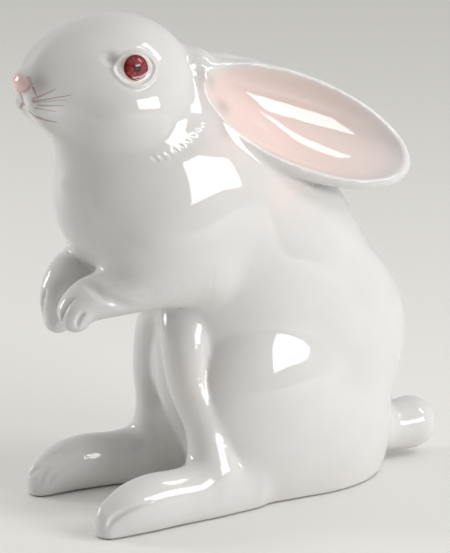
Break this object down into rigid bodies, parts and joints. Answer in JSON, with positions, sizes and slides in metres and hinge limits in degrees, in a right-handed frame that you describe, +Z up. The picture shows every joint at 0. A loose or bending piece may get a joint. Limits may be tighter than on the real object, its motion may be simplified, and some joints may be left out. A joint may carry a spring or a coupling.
{
  "type": "rabbit figurine",
  "caption": "Glazed porcelain rabbit sitting up on its haunches, ears laid back along its back, forepaws held in front of its chest.",
  "frame": {"origin": "on the surface it stands on, below the middle of the figure's box", "axes": "+Z up, the rabbit faces -Y, its left side is at +X"},
  "size_m": [0.096, 0.244, 0.2503],
  "materials": {
    "glazed_porcelain": "white porcelain under a clear gloss glaze, with red eyes and pink nose and ears painted under the glaze"
  },
  "bodies": {
    "root": {"rabbit": "glazed_porcelain"}
  },
  "joints": []
}
